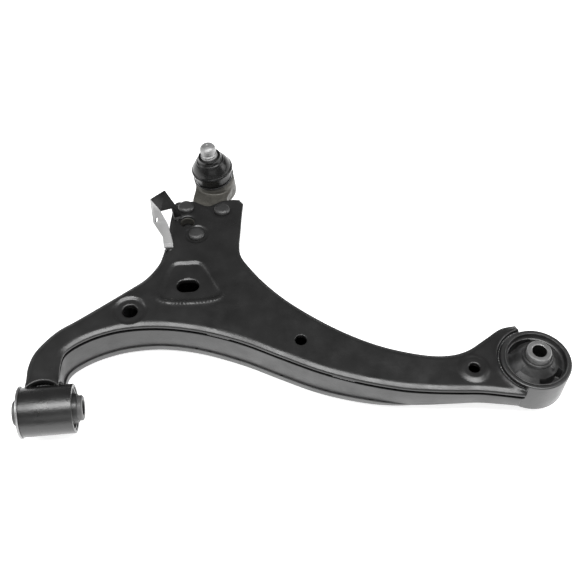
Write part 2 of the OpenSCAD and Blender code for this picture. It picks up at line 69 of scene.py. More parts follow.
# Heights of the upper pressing: its top face, its inner face and the lower edge of its rim
GAUGE = 3.0
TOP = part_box("lower_shell")[1].z * 1000 + GAUGE
SHEET = TOP - GAUGE
RIM = box_mm("upper_plate")[0][2]
RIM_LIFT = 1.2
RING = np.array([(ring_lo[0] + ring_hi[0]) / 2, (ring_lo[1] + ring_hi[1]) / 2])
RING_R = (ring_hi[0] - ring_lo[0]) / 2
SPAN = RING[0]
TUBE_R = (tube_hi[2] - tube_lo[2]) / 2
BALL = (ball_lo + ball_hi) / 2
REACH = BALL[1]
NECK_X = BALL[0] - 12.0
CORE_R = (rear_core_hi[0] - rear_core_lo[0]) / 2
LEAN = math.radians(6.5)
BORE_R = 7.15

# ---- materials


class Nodes:
    def __init__(self, name):
        self.mat = bpy.data.materials.new(name)
        self.mat.use_nodes = True
        self.t = self.mat.node_tree
        self.bsdf = next(n for n in self.t.nodes if n.type == "BSDF_PRINCIPLED")
        self.coord = self.t.nodes.new("ShaderNodeTexCoord").outputs["Object"]

    def new(self, kind, **values):
        n = self.t.nodes.new(kind)
        for k, v in values.items():
            if k in n.inputs:
                n.inputs[k].default_value = v
            else:
                setattr(n, k, v)
        return n

    def link(self, a, b):
        self.t.links.new(a, b)

    def noise(self, scale, detail=3.0, rough=0.5):
        n = self.new("ShaderNodeTexNoise", Scale=scale, Detail=detail, Roughness=rough)
        self.link(self.coord, n.inputs["Vector"])
        return n.outputs["Fac"]

    def voronoi(self, scale):
        n = self.new("ShaderNodeTexVoronoi", Scale=scale)
        self.link(self.coord, n.inputs["Vector"])
        return n.outputs["Distance"]

    def bands(self, scale, direction, distortion):
        n = self.new("ShaderNodeTexWave", Scale=scale, Distortion=distortion)
        n.wave_type = "BANDS"
        n.bands_direction = direction
        self.link(self.coord, n.inputs["Vector"])
        return n.outputs["Fac"]

    def ramp(self, fac, stops):
        n = self.new("ShaderNodeValToRGB")
        e = n.color_ramp.elements
        while len(e) < len(stops):
            e.new(0.5)
        for k, (pos, c) in enumerate(stops):
            e[k].position = pos
            e[k].color = (c, c, c, 1) if not isinstance(c, tuple) else (*c, 1)
        self.link(fac, n.inputs["Fac"])
        return n.outputs["Color"]

    def span(self, fac, a, b, lo, hi):
        n = self.new("ShaderNodeMapRange")
        for key, v in (("From Min", a), ("From Max", b), ("To Min", lo), ("To Max", hi)):
            n.inputs[key].default_value = v
        self.link(fac, n.inputs["Value"])
        return n.outputs["Result"]

    def mix(self, fac, a, b):
        n = self.new("ShaderNodeMix")
        n.data_type = "RGBA"
        self.link(fac, n.inputs["Factor"])
        for socket, v in ((n.inputs[6], a), (n.inputs[7], b)):
            if isinstance(v, tuple):
                socket.default_value = (*v, 1)
            else:
                self.link(v, socket)
        return n.outputs[2]

    def times(self, a, b):
        n = self.new("ShaderNodeMath")
        n.operation = "MULTIPLY"
        self.link(a, n.inputs[0])
        self.link(b, n.inputs[1])
        return n.outputs[0]

    def bump(self, heights):
        last = None
        for fac, strength, distance in heights:
            n = self.new("ShaderNodeBump", Strength=strength, Distance=distance)
            self.link(fac, n.inputs["Height"])
            if last is not None:
                self.link(last, n.inputs["Normal"])
            last = n.outputs["Normal"]
        self.link(last, self.bsdf.inputs["Normal"])

    def set(self, **values):
        for k, v in values.items():
            self.bsdf.inputs[k.replace("_", " ")].default_value = v


def coat(name, low, high, rough=(0.24, 0.4), specks=True, grain=0.35, ior=1.75, orange=0.18):
    """Black dip coat on pressed steel: slight waviness, orange peel, dust specks and thin patches."""
    m = Nodes(name)
    cloud = m.noise(16, 4)
    color = m.ramp(cloud, [(0.35, low), (0.7, high)])
    if specks:
        patch = m.noise(14, 3)
        near = m.span(m.voronoi(75), 0.03, 0.055, 1.0, 0.0)
        gate = m.span(patch, 0.5, 0.6, 0.0, 0.8)
        color = m.mix(m.times(near, gate), color, (0.13, 0.127, 0.12))
    m.link(color, m.bsdf.inputs["Base Color"])
    m.link(m.span(m.noise(55, 3), 0.3, 0.7, *rough), m.bsdf.inputs["Roughness"])
    waviness = (m.noise(7, 2), 0.2, 0.02)
    peel = (m.noise(420, 2), orange, 0.0006)
    m.bump([waviness, peel, (m.noise(1300, 2), grain, 0.00012)])
    m.set(IOR=ior)
    return m.mat


def steel(name, low, high, metal, rough, turned=None, cast=None, tint=(1, 1, 1), ior=1.5, stains=0.0):
    m = Nodes(name)
    a = tuple(low * c for c in tint)
    b = tuple(high * c for c in tint)
    color = m.ramp(m.noise(90, 4), [(0.32, a), (0.7, b)])
    if stains:
        patch = m.span(m.noise(45, 4, 0.65), 0.5, 0.68, 0.0, stains)
        color = m.mix(patch, color, tuple(c * 0.45 for c in a))
    m.link(color, m.bsdf.inputs["Base Color"])
    m.link(m.span(m.noise(160, 3), 0.3, 0.7, *rough), m.bsdf.inputs["Roughness"])
    heights = [(m.noise(700, 3), 0.25, 0.0003)]
    if turned:
        direction, scale = turned
        heights.append((m.bands(scale, direction, 0.6), 0.25, 0.00018))
    if cast:
        heights.append((m.noise(cast, 4, 0.6), 0.55, 0.0012))
    m.bump(heights)
    m.set(Metallic=metal, IOR=ior)
    return m.mat


def rubber(name, low, high, rough, bloom=0.06, fine=900, ior=1.5):
    m = Nodes(name)
    color = m.ramp(m.noise(60, 4), [(0.3, low), (0.72, high)])
    haze = m.span(m.noise(130, 4, 0.6), 0.5, 0.75, 0.0, 1.0)
    color = m.mix(haze, color, (high + bloom, high + bloom, high + bloom * 1.05))
    m.link(color, m.bsdf.inputs["Base Color"])
    m.link(m.span(m.noise(90, 3), 0.3, 0.7, *rough), m.bsdf.inputs["Roughness"])
    m.bump([(m.noise(220, 3), 0.16, 0.0006), (m.noise(fine, 2), 0.3, 0.00015)])
    m.set(IOR=ior)
    return m.mat


M = {
    "plate": coat("coat_plate", 0.006, 0.013, rough=(0.27, 0.4), ior=1.62),
    "shell": coat("coat_shell", 0.012, 0.02, rough=(0.3, 0.46), ior=1.62),
    # Near-black coat used as painted shadow in the groove under the rim
    "groove_painted_shadow": coat("coat_painted_groove_shadow", 0.0015, 0.004, rough=(0.5, 0.7), specks=False, ior=1.25),
    # Lighter than the other black coats: a painted reflection of the white floor along the closing sheet's
    # lip
    "under": coat("coat_closing_painted_light", 0.03, 0.05, rough=(0.36, 0.5), specks=False),
    "tube": coat("coat_tube", 0.005, 0.01, rough=(0.26, 0.36), specks=False, ior=1.68),
    "ring": coat("coat_ring", 0.014, 0.024, rough=(0.28, 0.42), ior=1.7),
    "weld": coat("coat_weld", 0.012, 0.03, rough=(0.26, 0.5), grain=0.6, orange=0.4),
    "rivet": coat("coat_rivet", 0.016, 0.03, rough=(0.3, 0.48), grain=0.5, orange=0.35),
    # Two copies of one strap coat: the light one is a painted reflection, the black one is painted shade
    "strap": coat("coat_strap", 0.2, 0.34, rough=(0.3, 0.42), specks=False, ior=1.7),
    "strap_painted_shade": coat("coat_strap_painted_shade", 0.002, 0.005, rough=(0.4, 0.55), specks=False, ior=1.3),
    # Near-black steel for the inside of the cores' bores: painted shade in the hole
    "bore": steel("bore_painted_shade", 0.006, 0.014, 0.3, (0.5, 0.65), ior=1.3),
    "sleeve": steel("sleeve_steel", 0.28, 0.4, 0.8, (0.26, 0.4)),
    "rim": steel("sleeve_rim", 0.05, 0.09, 0.6, (0.3, 0.42)),
    "zinc": steel("zinc_core", 0.2, 0.3, 0.7, (0.34, 0.48), turned=("Z", 900), stains=0.5),
    "zinc_x": steel("zinc_core_front", 0.09, 0.15, 0.55, (0.45, 0.6), turned=("X", 900)),
    "forging": steel("forging", 0.055, 0.1, 0.4, (0.36, 0.55), cast=330, tint=(1.0, 0.96, 0.84), stains=0.5),
    "stud": steel("stud_steel", 0.3, 0.42, 0.7, (0.34, 0.48), turned=("Z", 1300)),
    "ball": steel("ball_steel", 0.55, 0.65, 0.95, (0.1, 0.18)),
    # Near black: the clip wire is black-painted, and this darkness also stands in for shade under the boot's
    # skirt and round the stud's base
    "clip": steel("clip_steel", 0.008, 0.016, 0.3, (0.4, 0.55)),
    "cap": steel("cap_steel", 0.14, 0.22, 0.5, (0.35, 0.5), tint=(1.0, 0.98, 0.9)),
    "seat": rubber("seat_plastic", 0.6, 0.68, (0.35, 0.5), bloom=0.03),
    "bush": rubber("bush_rubber", 0.01, 0.02, (0.3, 0.46), bloom=0.02, ior=1.58),
    "boot": rubber("boot_rubber", 0.004, 0.008, (0.2, 0.34), bloom=0.006, fine=700, ior=1.42),
}

# ---- mesh helpers


def finish_mesh(obj, mat, angle=38.0):
    me = obj.data
    me.materials.clear()
    me.materials.append(mat)
    me.polygons.foreach_set("use_smooth", [True] * len(me.polygons))
    me.set_sharp_from_angle(angle=math.radians(angle))
    me.update()
    return obj


def linked(name, data):
    obj = bpy.data.objects.new(name, data)
    scene.collection.objects.link(obj)
    return obj


def to_object(name, verts, faces):
    """A mesh object from vertices in millimetres."""
    me = bpy.data.meshes.new(name)
    me.from_pydata([tuple(float(c) * 0.001 for c in v) for v in verts], [], faces)
    me.validate()
    me.update()
    return linked(name, me)


def solid(name, verts, faces, mat, angle):
    obj = to_object(name, verts, faces)
    fix_normals(obj)
    return finish_mesh(obj, mat, angle)


def apply_modifiers(obj):
    bpy.context.view_layer.update()
    graph = bpy.context.evaluated_depsgraph_get()
    me = bpy.data.meshes.new_from_object(obj.evaluated_get(graph))
    obj.modifiers.clear()
    old = obj.data
    obj.data = me
    me.name = obj.name
    bpy.data.meshes.remove(old)


def place(obj, body, nodes):
    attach(obj, body)
    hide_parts(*nodes)


def rounded(points, radius, steps=4, closed=True):
    """A polygon with its corners rounded. radius is one number or one per corner."""
    out = []
    n = len(points)
    radii = radius if isinstance(radius, (list, tuple)) else [radius] * n
    for i, p in enumerate(points):
        p = np.array(p, float)
        if not closed and i in (0, n - 1):
            out.append(p)
            continue
        a = np.array(points[i - 1], float) - p
        b = np.array(points[(i + 1) % n], float) - p
        la, lb = np.linalg.norm(a), np.linalg.norm(b)
        if radii[i] <= 0 or la < 1e-6 or lb < 1e-6:
            out.append(p)
            continue
        cosine = np.clip(a @ b / (la * lb), -1, 1)
        half = math.acos(cosine) / 2
        if half > math.radians(86):
            out.append(p)
            continue
        cut = min(radii[i] / math.tan(half), 0.46 * la, 0.46 * lb)
        p0, p1 = p + a / la * cut, p + b / lb * cut
        for k in range(steps + 1):
            t = k / steps
            out.append((1 - t) ** 2 * p0 + 2 * t * (1 - t) * p + t * t * p1)
    return out


def lathe(name, profile, mat, n=128, matrix=None, closed=True, angle=38.0, wobble=None):
    """Turns a profile of (radius, height) round Z. A point on the axis becomes one vertex."""
    verts, rings = [], []
    for r, z in profile:
        if r < 1e-6:
            rings.append([len(verts)])
            verts.append(Vector((0, 0, z)))
        else:
            start = len(verts)
            for i in range(n):
                a = 2 * math.pi * i / n
                rr, zz = (r, z) if wobble is None else wobble(r, z, a)
                verts.append(Vector((rr * math.cos(a), rr * math.sin(a), zz)))
            rings.append(list(range(start, start + n)))
    faces = []
    count = len(rings)
    for k in range(count if closed else count - 1):
        a, b = rings[k], rings[(k + 1) % count]
        if len(a) == 1 and len(b) == 1:
            continue
        for i in range(n):
            j = (i + 1) % n
            if len(a) == 1:
                faces.append((a[0], b[j], b[i]))
            elif len(b) == 1:
                faces.append((a[i], a[j], b[0]))
            else:
                faces.append((a[i], a[j], b[j], b[i]))
    if matrix is not None:
        verts = [matrix @ v for v in verts]
    return solid(name, verts, faces, mat, angle)


def fix_normals(obj):
    bm = bmesh.new()
    bm.from_mesh(obj.data)
    bmesh.ops.recalc_face_normals(bm, faces=bm.faces)
    bm.to_mesh(obj.data)
    bm.free()


ALONG_X = Matrix(((0, 0, 1), (0, 1, 0), (-1, 0, 0))).to_4x4()
LIFT = (ring_lo[2] + ring_hi[2]) / 2
AT_RING = Matrix.Translation((RING[0], RING[1], LIFT))
AT_BALL = Matrix.Translation(Vector(BALL)) @ Matrix.Rotation(-LEAN, 4, "Y")


def join(objs, name):
    bm = bmesh.new()
    for o in objs:
        bm.from_mesh(o.data)
    me = bpy.data.meshes.new(name)
    bm.to_mesh(me)
    bm.free()
    for o in objs:
        bpy.data.objects.remove(o)
    return linked(name, me)


def group(objs, name, key, node, angle=80):
    """Joins pieces of the arm into one, which stands for a node of the CAD."""
    obj = join(objs, name)
    finish_mesh(obj, M[key], angle)
    place(obj, "arm", [node])


def bead(name, path, radius, mat, pitch=2.6, ripple=0.22, seed=1, taper=3):
    """A weld bead along a path of points in millimetres: overlapping crescents, thinner at its ends."""
    sides = 12
    rng = random.Random(seed)
    pts = [np.array(p, float) for p in path]
    lengths = [0.0]
    for a, b in zip(pts, pts[1:]):
        lengths.append(lengths[-1] + np.linalg.norm(b - a))
    total = lengths[-1]
    steps = max(int(total / 0.45), 8)
    verts, faces = [], []
    phase = rng.random() * pitch
    for k in range(steps + 1):
        s = total * k / steps
        i = max(j for j in range(len(lengths)) if lengths[j] <= s + 1e-9)
        i = min(i, len(pts) - 2)
        t = (s - lengths[i]) / max(lengths[i + 1] - lengths[i], 1e-9)
        c = pts[i] * (1 - t) + pts[i + 1] * t
        tan = pts[i + 1] - pts[i]
        tan = tan / np.linalg.norm(tan)
        ref = np.array([0, 0, 1.0]) if abs(tan[2]) < 0.9 else np.array([1.0, 0, 0])
        u = np.cross(tan, ref)
        u /= np.linalg.norm(u)
        v = np.cross(u, tan)
        cycle = ((s + phase) % pitch) / pitch
        wave = 1 + ripple * (0.5 - cycle) * 1.3
        end = min(1.0, math.sqrt(max(min(s, total - s), 0.0) / taper + 0.02))
        r = radius * wave * end * (1 + 0.06 * math.sin(s * 1.7 + seed))
        for q in range(sides):
            a = 2 * math.pi * q / sides
            lag = 0.5 * radius * math.cos(a)
            verts.append(c + (u * math.cos(a) + v * math.sin(a)) * r - tan * lag * 0.4)
    for k in range(steps):
        for q in range(sides):
            w = (q + 1) % sides
            a = k * sides
            faces.append((a + q, a + w, a + sides + w, a + sides + q))
    faces.append(tuple(reversed(range(sides))))
    faces.append(tuple(range(steps * sides, (steps + 1) * sides)))
    return solid(name, verts, faces, mat, 80)


# ---- outlines taken from the CAD faces


def cad_loops(node, pick):
    """The closed boundaries of the faces that pick(normal, centre) accepts, longest first, in millimetres."""
    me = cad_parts[node].data
    edges = {}
    for p in me.polygons:
        if not pick(p.normal, p.center * 1000):
            continue
        corners = [me.vertices[i].co for i in p.vertices]
        keys = [(round(c.x * 1000, 2), round(c.y * 1000, 2)) for c in corners]
        for a, b in zip(keys, keys[1:] + keys[:1]):
            if a != b:
                edges[(a, b)] = edges.get((a, b), 0) + 1
    follow = {}
    for (a, b) in edges:
        if (b, a) not in edges:
            follow.setdefault(a, []).append(b)
    loops = []
    while follow:
        start = next(iter(follow))
        loop, here = [start], start
        while here in follow:
            nxt = follow[here].pop()
            if not follow[here]:
                del follow[here]
            if nxt == start:
                break
            loop.append(nxt)
            here = nxt
        if len(loop) > 2:
            loops.append(np.array(loop))
    loops.sort(key=lambda l: -sum(np.linalg.norm(l - np.roll(l, 1, 0), axis=1)))
    return loops


def area2(p):
    q = np.roll(p, -1, 0)
    return float(np.sum(p[:, 0] * q[:, 1] - q[:, 0] * p[:, 1]))


CORNER = 32.0


def resample(loop, step=1.6):
    """Anticlockwise, smooth between turns of over CORNER degrees, its points about step apart at most."""
    if area2(loop) < 0:
        loop = loop[::-1]
    keep = [loop[0]]
    for p in loop[1:]:
        if np.linalg.norm(p - keep[-1]) > 0.25:
            keep.append(p)
    if np.linalg.norm(keep[0] - keep[-1]) < 0.25:
        keep.pop()
    p = np.array(keep)
    m = len(p)
    a = p - np.roll(p, 1, 0)
    b = np.roll(p, -1, 0) - p
    turn = np.degrees(np.abs(np.arctan2(a[:, 0] * b[:, 1] - a[:, 1] * b[:, 0], (a * b).sum(1))))
    sharp = turn > CORNER
    out = []
    for i in range(m):
        p0, p1, p2, p3 = p[i - 1], p[i], p[(i + 1) % m], p[(i + 2) % m]
        length = np.linalg.norm(p2 - p1)
        if sharp[i]:
            p0 = 2 * p1 - p2
        if sharp[(i + 1) % m]:
            p3 = 2 * p2 - p1
        # Chord-length tangents keep uneven spacing from overshooting.
        l0, l2 = max(np.linalg.norm(p1 - p0), 0.1), max(np.linalg.norm(p3 - p2), 0.1)
        t1 = ((p1 - p0) / l0 + (p2 - p1) / length) / 2 * length
        t2 = ((p2 - p1) / length + (p3 - p2) / l2) / 2 * length
        n = max(int(math.ceil(length / step)), 1)
        for k in range(n):
            t = k / n
            h00, h10 = 2 * t**3 - 3 * t**2 + 1, t**3 - 2 * t**2 + t
            h01, h11 = -2 * t**3 + 3 * t**2, t**3 - t**2
            out.append(h00 * p1 + h10 * t1 + h01 * p2 + h11 * t2)
    return np.array(out)


def inside(points, poly):
    res = np.zeros(len(points), bool)
    x, y = points[:, 0], points[:, 1]
    a, b = poly, np.roll(poly, -1, 0)
    for (x0, y0), (x1, y1) in zip(a, b):
        if y0 == y1:
            continue
        cross = ((y0 > y) != (y1 > y)) & (x < (x1 - x0) * (y - y0) / (y1 - y0) + x0)
        res ^= cross
    return res


def distance(points, poly, values=None):
    """Distance to the nearest side of a closed polygon, and optionally the value given per corner there."""
    best = np.full(len(points), 1e9)
    val = np.zeros(len(points))
    a, b = poly, np.roll(poly, -1, 0)
    vb = np.roll(values, -1) if values is not None else None
    for i in range(len(a)):
        e = b[i] - a[i]
        d2 = e @ e
        if d2 < 1e-9:
            continue
        t = np.clip(((points - a[i]) @ e) / d2, 0, 1)
        d = np.linalg.norm(points - a[i] - t[:, None] * e, axis=1)
        near = d < best
        best[near] = d[near]
        if values is not None:
            val[near] = (values[i] * (1 - t) + vb[i] * t)[near]
    return best, val


def normals_in(poly):
    t = np.roll(poly, -1, 0) - np.roll(poly, 1, 0)
    t /= np.maximum(np.linalg.norm(t, axis=1), 1e-9)[:, None]
    return np.stack([-t[:, 1], t[:, 0]], 1)


def circle(c, r, n=48):
    a = np.linspace(0, 2 * np.pi, n, endpoint=False)
    return np.stack([c[0] + r * np.cos(a), c[1] + r * np.sin(a)], 1)


def oval(c, size):
    r = size[1] / 2
    s = (size[0] - size[1]) / 2
    a = np.linspace(-np.pi / 2, np.pi / 2, 24)
    right = np.stack([c[0] + s + r * np.cos(a), c[1] + r * np.sin(a)], 1)
    left = np.stack([c[0] - s - r * np.cos(a), c[1] - r * np.sin(a)], 1)
    return np.concatenate([right, left])


def smooth(t):
    t = np.clip(t, 0, 1)
    return t * t * (3 - 2 * t)


def quarter(d, R):
    """How far a sheet has dropped at distance d inside an edge rolled to radius R."""
    return R - np.sqrt(np.maximum(R * R - np.maximum(R - d, 0) ** 2, 0))


def rolled(d, R):
    """The same for the upper pressing, where a wide edge slopes down to a tighter corner."""
    plain = quarter(d, R)
    slope, corner, soft = 0.42, 0.22 * R, 0.2 * R
    rho = corner / 0.613
    reach_in = np.maximum(R - np.maximum(d, corner), 0)
    eased = slope * reach_in**2 / (2 * soft)
    upper = np.where(reach_in < soft, eased, slope * (reach_in - soft / 2))
    low = rho * 0.922 - np.sqrt(np.maximum(rho * rho - (rho - np.minimum(d, corner)) ** 2, 0))
    w = smooth((R - 2.4) / 2.0)
    return plain + (upper + low - plain) * w


def sheet(name, outline, edge, height, wall_end, holes, extra, sign, thick, mat, grid, node):
    """A pressed sheet: a shaped face with rolled edges, walls to wall_end, holes with turned-in rims.

    outline is anticlockwise, edge is its rolled radius per point, and height(x, y) is the face before
    its edge is rolled. holes are (loop, roll radius, depth). sign is +1 for a face that looks up and -1
    for one that looks down.
    """
    polys = [outline] + [loop for loop, _, _ in holes]
    inward = normals_in(outline)
    cloud = []
    for d in (0.3, 0.8, 1.5, 2.4, 3.4, 4.4, 5.6, 7.2):
        q = (outline + inward * d)[:: 1 if d < 4 else 2]
        off, _ = distance(q, outline)
        cloud.append(q[(off > d - 0.06) & inside(q, outline)])
    for loop, _, _ in holes:
        out = -normals_in(loop)
        for d in (0.25, 0.7, 1.3, 2.1, 3.2):
            cloud.append(loop + out * d)
    cloud += extra
    xs = np.arange(outline[:, 0].min(), outline[:, 0].max(), grid)
    ys = np.arange(outline[:, 1].min(), outline[:, 1].max(), grid * 0.866)
    g = np.array([(x + (grid / 2 if j % 2 else 0), y) for j, y in enumerate(ys) for x in xs])
    off, _ = distance(g, outline)
    keep = inside(g, outline) & (off > 7.6)
    for loop, _, _ in holes:
        hd, _ = distance(g, loop)
        keep &= (hd > 3.4) & ~inside(g, loop)
    cloud.append(g[keep])
    loose = np.concatenate(cloud)
    ok = inside(loose, outline)
    for loop, _, _ in holes:
        hd, _ = distance(loose, loop)
        ok &= ~inside(loose, loop) & (hd > 0.12)
    loose = loose[ok]
    # Points that nearly coincide would make slivers.
    seen, few = set(), []
    for p in loose:
        key = (round(p[0] / 0.22), round(p[1] / 0.22))
        if key not in seen:
            seen.add(key)
            few.append(p)
    coords, edges = [], []
    for poly in polys:
        s = len(coords)
        coords += [Vector(p) for p in poly]
        edges += [(s + i, s + (i + 1) % len(poly)) for i in range(len(poly))]
    coords += [Vector(p) for p in few]
    v, _, tris, orig, _, _ = delaunay_2d_cdt(coords, edges, [], 0, 1e-4)
    P = np.array([(a.x, a.y) for a in v])
    T = np.array([t for t in tris if len(t) == 3])
    mid = P[T].mean(1)
    good = inside(mid, outline)
    for loop, _, _ in holes:
        good &= ~inside(mid, loop)
    T = T[good]
    d, R = distance(P, outline, edge)
    R = np.maximum(R, 0.2)
    Z = height(P[:, 0], P[:, 1])
    drop = rolled(d, R) if sign > 0 else quarter(d, R)
    for loop, roll, _ in holes:
        hd, _ = distance(P, loop)
        drop = np.maximum(drop, quarter(hd, roll))
    Z = Z - sign * drop
    verts = [(x, y, z) for (x, y), z in zip(P, Z)]
    faces = [tuple(int(i) for i in t) for t in T]
    new_of = {}
    for n, olds in enumerate(orig):
        for o in olds:
            new_of[o] = n
    start = 0
    for poly, ends in [(outline, None)] + [(loop, depth) for loop, _, depth in holes]:
        ring = [new_of[start + i] for i in range(len(poly))]
        start += len(poly)
        top = [verts[i][2] for i in ring]
        if ends is None:
            low = [wall_end(*poly[i]) for i in range(len(poly))]
            rows = (0.5, 1.0)
        else:
            low = [z - sign * ends for z in top]
            rows = (0.4, 1.0)
        low = [min(l, t - 0.2) if sign > 0 else max(l, t + 0.2) for l, t in zip(low, top)]
        prev = ring
        for f in rows:
            base = len(verts)
            for i in range(len(poly)):
                verts.append((poly[i][0], poly[i][1], top[i] + (low[i] - top[i]) * f))
            cur = list(range(base, base + len(poly)))
            for i in range(len(poly)):
                j = (i + 1) % len(poly)
                # The holes' loops are anticlockwise too, but their walls face the other way.
                if ends is None:
                    faces.append((prev[i], cur[i], cur[j], prev[j]))
                else:
                    faces.append((prev[i], prev[j], cur[j], cur[i]))
            prev = cur
    if sign < 0:
        faces = [tuple(reversed(f)) for f in faces]
    obj = to_object(name, verts, faces)
    mod = obj.modifiers.new("thickness", "SOLIDIFY")
    mod.thickness = thick * 0.001
    mod.offset = -1
    mod.use_even_offset = True
    mod.thickness_clamp = 1.0
    apply_modifiers(obj)
    finish_mesh(obj, mat, 50)
    place(obj, "arm", [node])


def softened(values, n=9):
    out = values.copy()
    for k in range(-n, n + 1):
        out = out + np.roll(values, k)
    return out / (2 * n + 2)


# ---- upper pressing

LEG_HOLE = np.array([0.165 * SPAN, 0.353 * REACH])
MID_HOLE = np.array([0.291 * SPAN, 0.452 * REACH])
PLAIN_HOLE = np.array([0.521 * SPAN, 0.163 * REACH])
TAIL_HOLE = np.array([SPAN - 64, -4.5])
NECK_HOLE = np.array([NECK_X - 22.5, REACH - 65])
RIVETS = [np.array([NECK_X + x, REACH - y]) for x, y in ((17, 51.5), (-23, 44), (-13, 85.5))]


def between(a, b, c, d, n):
    """n points of a Catmull-Rom curve from b on towards c."""
    square, cube = 2 * a - 5 * b + 4 * c - d, 3 * b - a - 3 * c + d
    steps = [k / n for k in range(n)]
    return [0.5 * (2 * b + (c - a) * t + square * t * t + cube * t**3) for t in steps]


def closed_curve(points):
    p = [np.array(q, float) for q in points]
    out = []
    for i in range(len(p)):
        out += between(p[i - 1], p[i], p[(i + 1) % len(p)], p[(i + 2) % len(p)], 10)
    return np.array(out)


pocket = closed_curve([MID_HOLE + np.array(o) for o in
                       ((-28, -15), (-24, 9), (-15, 30), (0, 32), (16, 29), (27, 6), (32, -17), (2, -21))])
if area2(pocket) < 0:
    pocket = pocket[::-1]

top_outline = resample(cad_loops("upper_plate", lambda n, c: n.z > 0.95 and c.z > TOP - 0.2)[0])


def near_ring(p, extra):
    return np.linalg.norm(p - RING, axis=1) < RING_R + extra


top_edge = np.full(len(top_outline), 5.8)
ox, oy = top_outline[:, 0], top_outline[:, 1]
top_edge[near_ring(top_outline, 3.4)] = 1.0
top_edge[(oy > REACH - 45) & (np.abs(ox - NECK_X) < 36)] = 1.6
top_edge[(oy < 23) & (ox < 30)] = 1.3
top_edge = softened(top_edge, 3)


def radial(x, y, c):
    return np.hypot(x - c[0], y - c[1])


def top_height(x, y):
    z = np.full(x.shape, float(TOP))
    z = z - 2.0 * smooth((18.5 - radial(x, y, LEG_HOLE)) / 4.5)
    z = z + 2.0 * smooth((17.5 - radial(x, y, TAIL_HOLE)) / 7.0)
    z = z - 1.1 * smooth((14 - radial(x, y, RIVETS[2])) / 2.6)
    for c in RIVETS[:2]:
        z = z - 0.35 * smooth((12.5 - radial(x, y, c)) / 2.5)
    z = z - 0.8 * smooth((12 - radial(x, y, NECK_HOLE)) / 4.0)
    p = np.stack([x, y], 1)
    d, _ = distance(p, pocket)
    d = np.where(inside(p, pocket), d, -d)
    z = z - 2.2 * smooth((d + 1.2) / 5.0)
    # The low ridge along the pocket's near side
    z = z + 1.1 * np.exp(-(((d + 3.0) / 2.3) ** 2)) * smooth((MID_HOLE[1] - 2 - y) / 12)
    # The cup's raised edge round the rear ring
    r = radial(x, y, RING)
    z = z + 1.0 * np.exp(-(((r - RING_R - 4.6) / 2.0) ** 2))
    # Slight unevenness of a pressing
    z = z + 0.34 * np.sin(x * 0.036 + 1.0) * np.sin(y * 0.04 + 0.4) + 0.1 * np.sin(x * 0.09 + y * 0.06)
    return z


def rim_end(x, y):
    if abs(x - NECK_X) < 41 and y > REACH - 60:
        return SHEET
    if x < 30 and y < TUBE_R + 0.5:
        return max(RIM, math.sqrt(max((TUBE_R + 0.05) ** 2 - y * y, 0)))
    return RIM + RIM_LIFT


extra = []
for c, radii in ((LEG_HOLE, (12, 14, 15, 16, 17, 18, 19, 20.5)),
                 (TAIL_HOLE, (9, 10.5, 11.5, 13, 14.5, 16, 17, 18, 19.5)),
                 (RIVETS[2], (10, 11.4, 12.2, 13, 13.8, 14.6, 16)),
                 (RIVETS[0], (10, 11, 12, 13)),
                 (RIVETS[1], (10, 11, 12, 13))):
    for r in radii:
        extra.append(circle(c, r, 40))
pn = normals_in(pocket)
for d in (-6.6, -5.6, -4.7, -3.8, -3.0, -2.2, -1.3, -0.4, 0.6, 1.6, 2.6, 3.8, 5.2):
    extra.append(pocket + pn * d)
for d in (3.2, 3.9, 4.6, 5.3, 6.2):
    a = np.linspace(np.pi * 0.5, np.pi * 1.5, 90)
    extra.append(RING + (RING_R + d) * np.stack([np.cos(a), np.sin(a)], 1))

rivet_holes = [(circle(c, 5.1, 28), 0.3, 2) for c in RIVETS]
holes = [(circle(LEG_HOLE, 7.7), 1.8, 3.5), (oval(MID_HOLE, (23.4, 15.4)), 1.8, 3.2),
         (circle(PLAIN_HOLE, 5.9), 0.9, 3), (circle(TAIL_HOLE, 5.4), 1.4, 3),
         (circle(NECK_HOLE, 7.8), 1.3, 2.4)]
sheet("upper_plate_skin", top_outline, top_edge, top_height, rim_end, holes + rivet_holes, extra, 1, 2.9,
      M["plate"], 3.2, "upper_plate")

# ---- lower channel and closing sheet


def floor_x(x):
    depth = 8 + 20 * (1 - smooth((x / SPAN - 0.5) / 0.46))
    return -depth + 2.5 * smooth(1 - np.abs(x / SPAN - 0.24) / 0.16)


def floor_at(x):
    return float(floor_x(np.array(x)))


def floor_y(y):
    neck = -100 + 103 * smooth((y - REACH + 185) / 85)
    return np.maximum(neck, np.where(y < 60, 4 * smooth(1 - (y - 10) / 40) - 28, -100))


def channel_floor(x, y):
    return np.maximum(floor_x(x), floor_y(y))


low_outline = resample(cad_loops("lower_shell", lambda n, c: n.z < -0.3 and c.z < RIM - 5.5)[0], 1.8)
low_edge = 3.0 - 1.6 * smooth((low_outline[:, 0] / SPAN - 0.5) / 0.15)
low_edge[near_ring(low_outline, 1.0)] = 0.5
low_edge[(low_outline[:, 1] < 23) & (low_outline[:, 0] < 30)] = 0.5
low_edge = softened(low_edge, 2)


def channel_wall(x, y):
    if NECK_X - 29 < x < NECK_X + 35 and y > REACH - 60:
        return 6.0
    return SHEET


low_holes = [(circle(c, r), 0.8, 2.5) for c, r in ((LEG_HOLE, 8), (PLAIN_HOLE, 6), (TAIL_HOLE, 5.5))]
sheet("lower_channel", low_outline, low_edge, channel_floor, channel_wall, low_holes + rivet_holes, [], -1,
      2.9, M["shell"], 5.0, "lower_shell")
